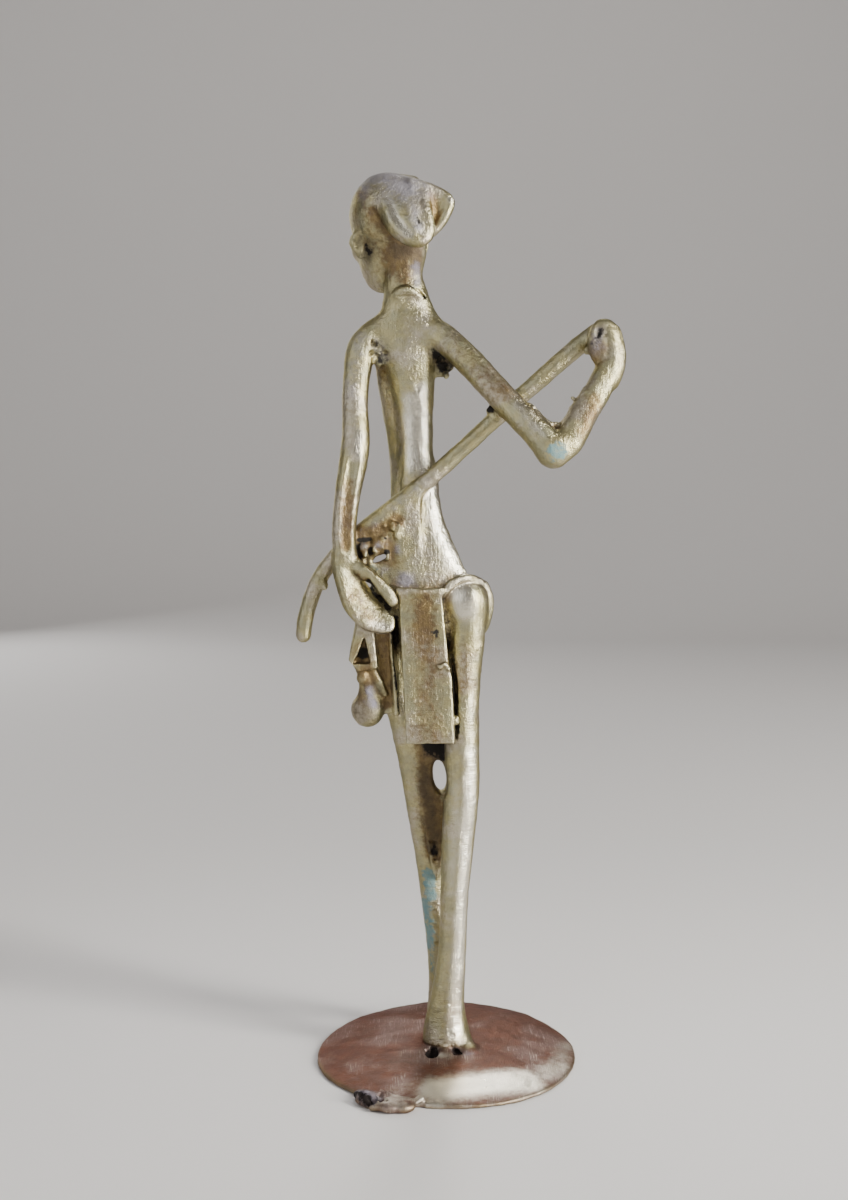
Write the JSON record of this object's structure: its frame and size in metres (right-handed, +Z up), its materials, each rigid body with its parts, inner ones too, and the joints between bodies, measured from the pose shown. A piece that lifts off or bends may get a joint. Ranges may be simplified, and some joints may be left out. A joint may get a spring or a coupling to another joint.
{
  "type": "cast bronze walking figure on a round base",
  "caption": "Slender cast bronze figure with cap, loincloth, hip sheath and a thin staff held across the small of the back, on a thin round base.",
  "frame": {"origin": "centre of the round base's flat underside", "axes": "+Z up; the figure faces -Y, so the side shown in the picture is +Y; +X is the figure's left-hand side"},
  "size_m": [0.0543, 0.0506, 0.15],
  "materials": {
    "bronze": "worn satin casting, polished on the high parts and dark in the hollows"
  },
  "bodies": {
    "root": {"bronze_figure": "bronze"}
  },
  "joints": []
}
